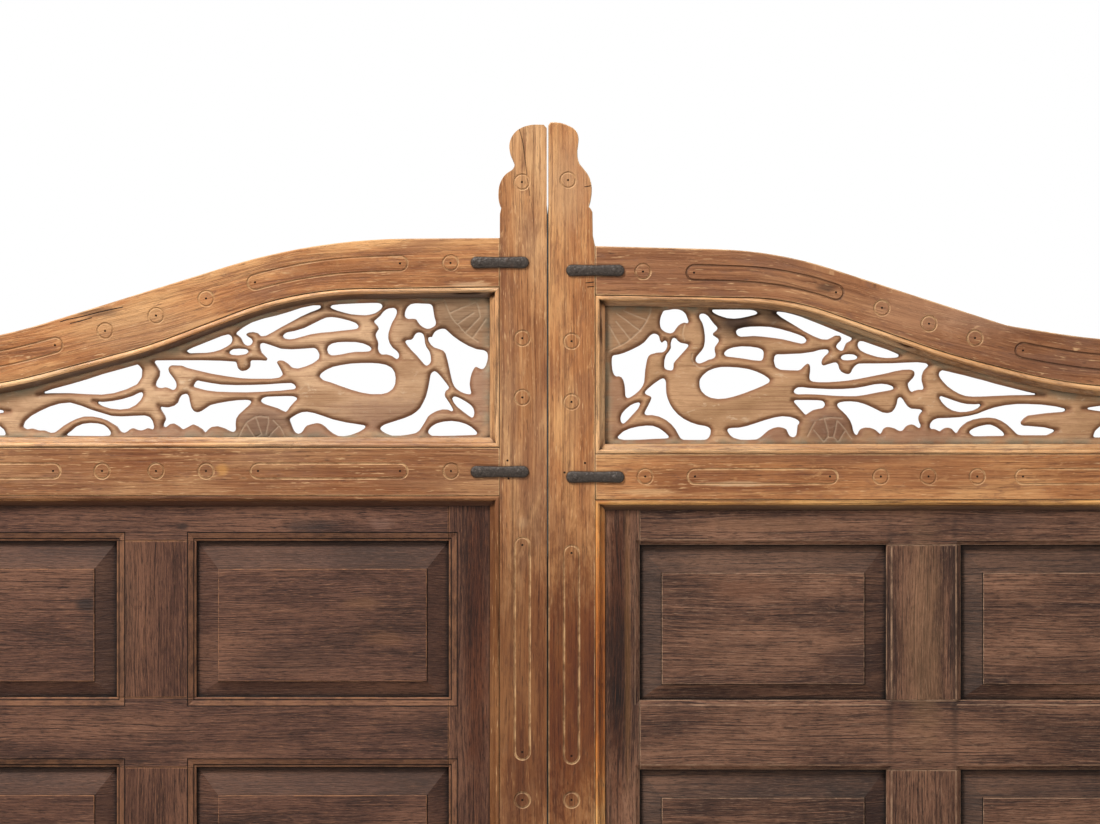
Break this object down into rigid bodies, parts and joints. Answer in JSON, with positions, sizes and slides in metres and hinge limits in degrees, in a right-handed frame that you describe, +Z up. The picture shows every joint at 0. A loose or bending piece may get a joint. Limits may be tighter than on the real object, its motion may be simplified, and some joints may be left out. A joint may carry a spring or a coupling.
{
  "type": "double leaf gate",
  "caption": "Timber gate with serpentine top rails, pierced bird and foliage carving, raised dark panels and iron joint straps; the leaves swing on hooks in a post and threshold frame.",
  "frame": {"origin": "middle of the base, on the ground under the threshold", "axes": "+X across the gate to the right seen from the front, +Y towards the back, +Z up"},
  "size_m": [3.327, 0.16, 2.312],
  "materials": {
    "frame_wood": "oiled and weathered",
    "carved_wood": "dry, worn",
    "panel_wood": "dark, raised grain",
    "iron": "forged, dark"
  },
  "bodies": {
    "frame": {"left_post": "frame_wood", "right_post": "frame_wood", "threshold": "frame_wood", "left_hinge_hooks": "iron", "right_hinge_hooks": "iron", "hook_nails": "iron"},
    "left_leaf": {"left_meeting_stile": "frame_wood", "left_hinge_stile": "frame_wood", "left_top_rail": "frame_wood", "left_mid_rail": "frame_wood", "left_bottom_rail": "frame_wood", "left_carved_panel": "carved_wood", "left_upper_beads": "frame_wood", "left_lower_beads": "frame_wood", "left_insert_meeting_stile": "panel_wood", "left_insert_hinge_stile": "panel_wood", "left_insert_top_rail": "panel_wood", "left_insert_bottom_rail": "panel_wood", "left_insert_cross_rails": "panel_wood", "left_insert_muntins": "panel_wood", "left_top_inner_panel": "panel_wood", "left_top_outer_panel": "panel_wood", "left_middle_inner_panel": "panel_wood", "left_middle_outer_panel": "panel_wood", "left_bottom_inner_panel": "panel_wood", "left_bottom_outer_panel": "panel_wood", "left_joint_straps": "iron", "left_strap_nails": "iron", "left_hinge_straps": "iron", "left_back_nails": "iron", "bolt_guides": "iron"},
    "right_leaf": {"right_meeting_stile": "frame_wood", "right_hinge_stile": "frame_wood", "right_top_rail": "frame_wood", "right_mid_rail": "frame_wood", "right_bottom_rail": "frame_wood", "right_carved_panel": "carved_wood", "right_upper_beads": "frame_wood", "right_lower_beads": "frame_wood", "right_insert_meeting_stile": "panel_wood", "right_insert_hinge_stile": "panel_wood", "right_insert_top_rail": "panel_wood", "right_insert_bottom_rail": "panel_wood", "right_insert_cross_rails": "panel_wood", "right_insert_muntins": "panel_wood", "right_top_inner_panel": "panel_wood", "right_top_outer_panel": "panel_wood", "right_middle_inner_panel": "panel_wood", "right_middle_outer_panel": "panel_wood", "right_bottom_inner_panel": "panel_wood", "right_bottom_outer_panel": "panel_wood", "right_joint_straps": "iron", "right_strap_nails": "iron", "right_hinge_straps": "iron", "right_back_nails": "iron", "bolt_keeper": "iron", "drop_bolt_guides": "iron"},
    "slide_bolt": {"slide_bolt": "iron"},
    "drop_bolt": {"drop_bolt": "iron"}
  },
  "joints": [
    {"name": "left_leaf_swing", "type": "hinge", "parent": "frame", "child": "left_leaf", "pos_m": [-1.5405, 0.039, 0.9], "axis": [0, 0, 1], "range_deg": [0, 100]},
    {"name": "right_leaf_swing", "type": "hinge", "parent": "frame", "child": "right_leaf", "pos_m": [1.5405, 0.039, 0.9], "axis": [0, 0, -1], "range_deg": [0, 100]},
    {"name": "slide_bolt_slide", "type": "slide", "parent": "left_leaf", "child": "slide_bolt", "axis": [1, 0, 0], "range_m": [0, 0.08]},
    {"name": "drop_bolt_slide", "type": "slide", "parent": "right_leaf", "child": "drop_bolt", "axis": [0, 0, -1], "range_m": [0, 0.04]}
  ]
}
